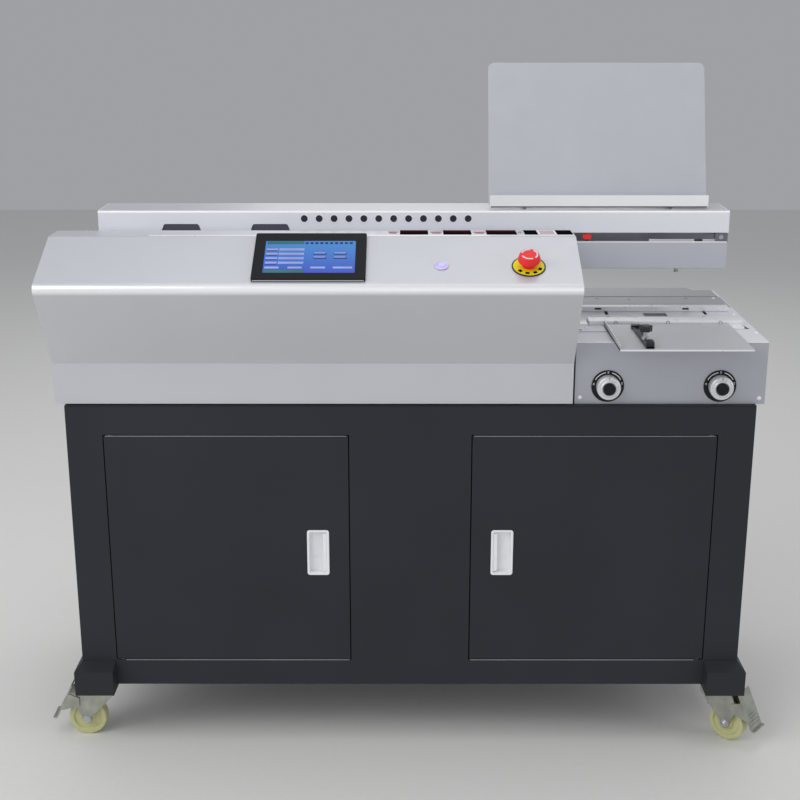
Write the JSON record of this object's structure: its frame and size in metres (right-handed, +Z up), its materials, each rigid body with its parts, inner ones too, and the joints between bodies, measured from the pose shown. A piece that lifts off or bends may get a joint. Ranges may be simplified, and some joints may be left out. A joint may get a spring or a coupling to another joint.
{
  "type": "thermal binding machine",
  "caption": "Floor-standing glue binder: book clamp on a beam, milling and glue stations under a hinged cover, nipping bed, control panel, and a wheeled cabinet with doors.",
  "frame": {"origin": "on the floor under the middle of the machine's bounding box", "axes": "+X to the machine's right as the operator sees it, +Y to its back, +Z up"},
  "size_m": [1.4158, 0.6144, 1.3018],
  "materials": {
    "slate_paint": "satin slate grey powder coat",
    "silver_paint": "silver powder coat",
    "white_plastic": "white moulded plastic",
    "zinc_steel": "zinc plated pressed steel",
    "cream_nylon": "cream nylon",
    "black_plastic": "black moulded plastic",
    "screen_glass": "blue lit screen",
    "signal_red": "red moulded plastic",
    "signal_yellow": "yellow plate",
    "violet_glow": "lit button cap",
    "ground_steel": "ground bright steel",
    "cast_alloy": "cast and machined alloy",
    "dark_steel": "dark painted steel plate",
    "bin_plastic": "grey plastic"
  },
  "bodies": {
    "machine": {"cabinet_front_frame": "slate_paint", "cabinet_left_side": "slate_paint", "cabinet_right_side": "slate_paint", "cabinet_back": "slate_paint", "cabinet_floor": "slate_paint", "cabinet_deck": "slate_paint", "power_inlet": "black_plastic", "waste_bin": "bin_plastic", "foot_bracket_front_left": "slate_paint", "foot_bracket_front_right": "slate_paint", "foot_bracket_rear_left": "slate_paint", "foot_bracket_rear_right": "slate_paint", "housing_left_side": "silver_paint", "housing_right_side": "silver_paint", "rear_housing": "silver_paint", "cover_hinge_strip": "silver_paint", "cover_hinge_pin": "ground_steel", "beam_cover": "silver_paint", "machine_frame": "dark_steel", "lower_guide_rod": "ground_steel", "upper_guide_rod": "ground_steel", "book_rest": "silver_paint", "bed_box": "silver_paint", "bed_top": "silver_paint", "paper_tray": "silver_paint", "left_dial_ring": "black_plastic", "right_dial_ring": "black_plastic", "glue_tank": "cast_alloy", "milling_motor": "cast_alloy"},
    "front_cover": {"front_cover": "silver_paint", "panel_bezel": "black_plastic", "touch_screen": "screen_glass", "stop_plate": "signal_yellow", "power_button_ring": "ground_steel"},
    "stop_button": {"stop_button": "signal_red"},
    "power_button": {"power_button": "violet_glow"},
    "left_door": {"left_door": "slate_paint", "left_door_pull": "white_plastic"},
    "right_door": {"right_door": "slate_paint", "right_door_pull": "white_plastic"},
    "clamp_carriage": {"clamp_carriage": "silver_paint"},
    "clamp_jaw": {"clamp_jaw": "silver_paint"},
    "front_nip_plate": {"front_nip_plate": "cast_alloy"},
    "back_nip_plate": {"back_nip_plate": "cast_alloy"},
    "side_stop": {"side_stop": "dark_steel"},
    "side_stop_knob": {"side_stop_knob": "black_plastic"},
    "left_dial": {"left_dial_knob": "ground_steel"},
    "right_dial": {"right_dial_knob": "ground_steel"},
    "glue_roller": {"glue_roller": "ground_steel"},
    "milling_cutter": {"milling_cutter": "ground_steel"},
    "swivel_front_left": {"caster_fork_front_left": "zinc_steel"},
    "wheel_front_left": {"caster_wheel_front_left": "cream_nylon"},
    "swivel_front_right": {"caster_fork_front_right": "zinc_steel"},
    "wheel_front_right": {"caster_wheel_front_right": "cream_nylon"},
    "swivel_rear_left": {"caster_fork_rear_left": "zinc_steel"},
    "wheel_rear_left": {"caster_wheel_rear_left": "cream_nylon"},
    "swivel_rear_right": {"caster_fork_rear_right": "zinc_steel"},
    "wheel_rear_right": {"caster_wheel_rear_right": "cream_nylon"},
    "pedal_front_left": {"brake_pedal_front_left": "zinc_steel"},
    "pedal_front_right": {"brake_pedal_front_right": "zinc_steel"}
  },
  "joints": [
    {"name": "cover_hinge", "type": "hinge", "parent": "machine", "child": "front_cover", "pos_m": [0.00453, -0.09877, 0.992], "axis": [-1, 0, 0], "range_deg": [0, 70]},
    {"name": "stop_press", "type": "slide", "parent": "front_cover", "child": "stop_button", "axis": [0, 0.4229, -0.9062], "range_m": [0, 0.004], "stiffness_N_per_m": 800},
    {"name": "power_press", "type": "slide", "parent": "front_cover", "child": "power_button", "axis": [0, 0.4229, -0.9062], "range_m": [0, 0.002], "stiffness_N_per_m": 400},
    {"name": "left_door_hinge", "type": "hinge", "parent": "machine", "child": "left_door", "pos_m": [-0.55597, -0.20877, 0.184], "axis": [0, 0, -1], "range_deg": [0, 110]},
    {"name": "right_door_hinge", "type": "hinge", "parent": "machine", "child": "right_door", "pos_m": [0.56503, -0.20877, 0.184], "axis": [0, 0, 1], "range_deg": [0, 110]},
    {"name": "clamp_travel", "type": "slide", "parent": "machine", "child": "clamp_carriage", "axis": [-1, 0, 0], "range_m": [0, 0.775]},
    {"name": "jaw_close", "type": "slide", "parent": "clamp_carriage", "child": "clamp_jaw", "axis": [0, 1, 0], "range_m": [0, 0.047]},
    {"name": "front_nip_travel", "type": "slide", "parent": "machine", "child": "front_nip_plate", "axis": [0, 1, 0], "range_m": [0, 0.042]},
    {"name": "back_nip_travel", "type": "slide", "parent": "machine", "child": "back_nip_plate", "axis": [0, -1, 0], "range_m": [0, 0.042]},
    {"name": "side_stop_slide", "type": "slide", "parent": "machine", "child": "side_stop", "axis": [1, 0, 0], "range_m": [-0.03, 0.12]},
    {"name": "side_stop_knob_turn", "type": "hinge", "parent": "side_stop", "child": "side_stop_knob", "pos_m": [0.43003, -0.22277, 0.8431], "axis": [0, 0, 1], "range_deg": [0, 270]},
    {"name": "left_dial_turn", "type": "hinge", "parent": "machine", "child": "left_dial", "pos_m": [0.36853, -0.20477, 0.7352], "axis": [0, -1, 0], "range_deg": [-150, 150]},
    {"name": "right_dial_turn", "type": "hinge", "parent": "machine", "child": "right_dial", "pos_m": [0.57553, -0.20477, 0.7352], "axis": [0, -1, 0], "range_deg": [-150, 150]},
    {"name": "glue_roller_spin", "type": "hinge", "parent": "machine", "child": "glue_roller", "pos_m": [-0.33547, -0.00477, 0.7796], "axis": [0, 1, 0], "continuous": true},
    {"name": "milling_cutter_spin", "type": "hinge", "parent": "machine", "child": "milling_cutter", "pos_m": [0.12453, 0.00323, 0.8116], "axis": [0, 0, 1], "continuous": true},
    {"name": "swivel_front_left_turn", "type": "hinge", "parent": "machine", "child": "swivel_front_left", "pos_m": [-0.60787, -0.16977, 0.11], "axis": [0, 0, 1], "continuous": true},
    {"name": "wheel_front_left_roll", "type": "hinge", "parent": "swivel_front_left", "child": "wheel_front_left", "pos_m": [-0.64087, -0.16977, 0.0375], "axis": [0, -1, 0], "continuous": true},
    {"name": "pedal_front_left_press", "type": "hinge", "parent": "swivel_front_left", "child": "pedal_front_left", "pos_m": [-0.65787, -0.16977, 0.076], "axis": [0, -1, 0], "range_deg": [0, 15]},
    {"name": "swivel_front_right_turn", "type": "hinge", "parent": "machine", "child": "swivel_front_right", "pos_m": [0.61693, -0.16977, 0.11], "axis": [0, 0, 1], "continuous": true},
    {"name": "wheel_front_right_roll", "type": "hinge", "parent": "swivel_front_right", "child": "wheel_front_right", "pos_m": [0.64221, -0.19098, 0.0375], "axis": [0.6428, 0.766, 0], "continuous": true},
    {"name": "pedal_front_right_press", "type": "hinge", "parent": "swivel_front_right", "child": "pedal_front_right", "pos_m": [0.65523, -0.20191, 0.076], "axis": [0.6428, 0.766, 0], "range_deg": [0, 15]},
    {"name": "swivel_rear_left_turn", "type": "hinge", "parent": "machine", "child": "swivel_rear_left", "pos_m": [-0.60787, 0.23023, 0.11], "axis": [0, 0, 1], "continuous": true},
    {"name": "wheel_rear_left_roll", "type": "hinge", "parent": "swivel_rear_left", "child": "wheel_rear_left", "pos_m": [-0.62336, 0.25937, 0.0375], "axis": [-0.8829, -0.4695, 0], "continuous": true},
    {"name": "swivel_rear_right_turn", "type": "hinge", "parent": "machine", "child": "swivel_rear_right", "pos_m": [0.61693, 0.23023, 0.11], "axis": [0, 0, 1], "continuous": true},
    {"name": "wheel_rear_right_roll", "type": "hinge", "parent": "swivel_rear_right", "child": "wheel_rear_right", "pos_m": [0.63242, 0.25937, 0.0375], "axis": [-0.8829, 0.4695, 0], "continuous": true}
  ],
  "couplings": [
    {"joint": "back_nip_travel", "follows": "front_nip_travel", "ratio": 1}
  ]
}
